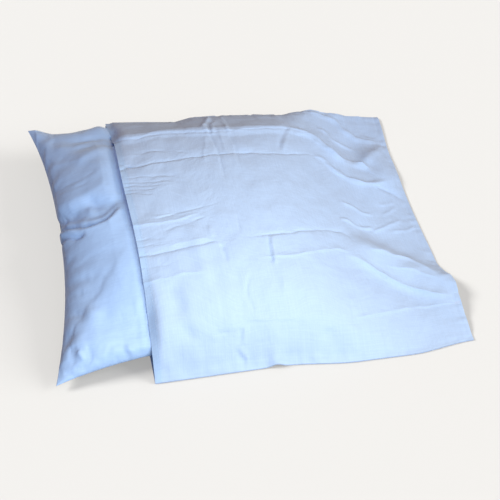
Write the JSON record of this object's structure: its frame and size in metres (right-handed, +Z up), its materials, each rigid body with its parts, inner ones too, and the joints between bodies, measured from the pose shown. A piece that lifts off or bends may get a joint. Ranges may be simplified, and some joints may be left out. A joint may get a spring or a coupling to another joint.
{
  "type": "pillow protector on a pillow",
  "caption": "Square cotton pillow protector, a flat bag open at one end, drawn part of the way over a filled square pillow, its empty end lying flat.",
  "frame": {"origin": "middle of the protector's base panel, on the surface that it lies on", "axes": "+X towards the protector's closed end, +Y towards its back seam, +Z up from the surface"},
  "size_m": [0.837, 0.672, 0.1526],
  "materials": {
    "protector_cotton": "plain woven cotton, matte, pale blue",
    "pillow_casing": "smooth downproof cotton with a soft sheen, light blue"
  },
  "bodies": {
    "root": {"pillow": "pillow_casing", "protector_base_panel": "protector_cotton", "protector_top_panel": "protector_cotton"}
  },
  "joints": []
}
